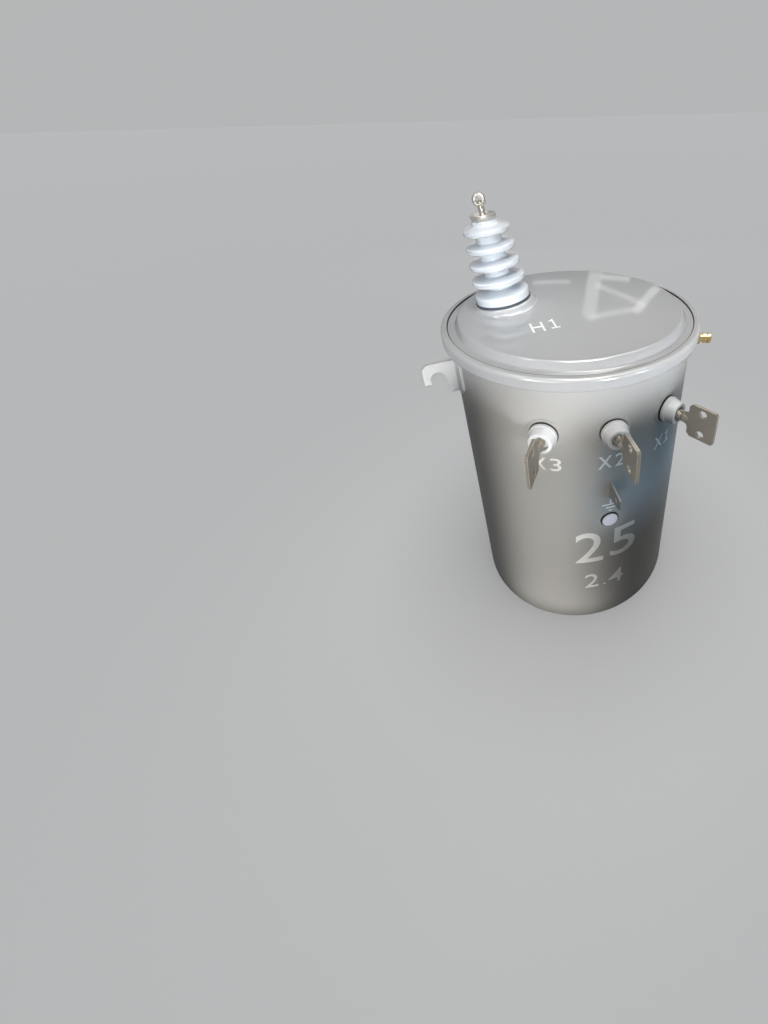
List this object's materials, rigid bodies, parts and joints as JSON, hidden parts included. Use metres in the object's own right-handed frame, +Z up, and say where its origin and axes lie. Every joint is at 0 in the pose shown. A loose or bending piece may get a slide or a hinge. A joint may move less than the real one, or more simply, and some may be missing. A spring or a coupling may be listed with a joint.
{
  "type": "pole mounted transformer",
  "caption": "Single-phase pole mounted transformer: round grey tank with a banded cover, a ribbed high voltage bushing, flat low voltage terminals, lugs and pole brackets.",
  "frame": {"origin": "centre of the tank's lower rim, on the surface it stands on", "axes": "+Z up along the tank's axis, -Y to the side of the middle low voltage bushing, +Y to the pole, +X to the right seen from the front"},
  "size_m": [0.6052, 0.6635, 0.9138],
  "materials": {
    "tank_paint": "semi-gloss grey enamel",
    "cover_paint": "semi-gloss grey enamel",
    "fitting_paint": "semi-gloss grey enamel",
    "plated_steel": "zinc plated",
    "gasket_rubber": "matt black nitrile rubber",
    "white_porcelain": "glossy glaze",
    "grey_porcelain": "glossy glaze",
    "tinned_metal": "tin plated, dull",
    "terminal_metal": "tin plated bronze",
    "spade_metal": "tin plated copper alloy, dull",
    "valve_brass": "plain turned brass",
    "cap_plastic": "smooth moulded",
    "oil_and_core": null
  },
  "bodies": {
    "root": {"tank_shell": "tank_paint", "tank_bottom": "tank_paint", "core_coils_and_oil": "oil_and_core", "cover": "cover_paint", "cover_gasket": "gasket_rubber", "cover_band": "cover_paint", "band_ear_left": "cover_paint", "band_ear_right": "cover_paint", "band_bolt": "plated_steel", "band_nut": "plated_steel", "hv_gasket": "gasket_rubber", "hv_porcelain": "white_porcelain", "hv_cap": "tinned_metal", "hv_terminal": "terminal_metal", "hv_clamp_screw": "terminal_metal", "ground_tab": "tank_paint", "ground_pad": "tank_paint", "ground_pad_ring": "gasket_rubber", "ground_pad_cap": "cap_plastic", "relief_valve_coupling": "tank_paint", "relief_valve_body": "valve_brass", "relief_valve_cap": "valve_brass", "lifting_lug_left": "fitting_paint", "lifting_lug_right": "fitting_paint", "hanger_bracket_upper": "fitting_paint", "hanger_bracket_lower": "fitting_paint", "x1_gasket": "gasket_rubber", "x1_insulator": "grey_porcelain", "x1_spade": "spade_metal", "x2_gasket": "gasket_rubber", "x2_insulator": "grey_porcelain", "x2_spade": "spade_metal", "x3_gasket": "gasket_rubber", "x3_insulator": "grey_porcelain", "x3_spade": "spade_metal"}
  },
  "joints": []
}
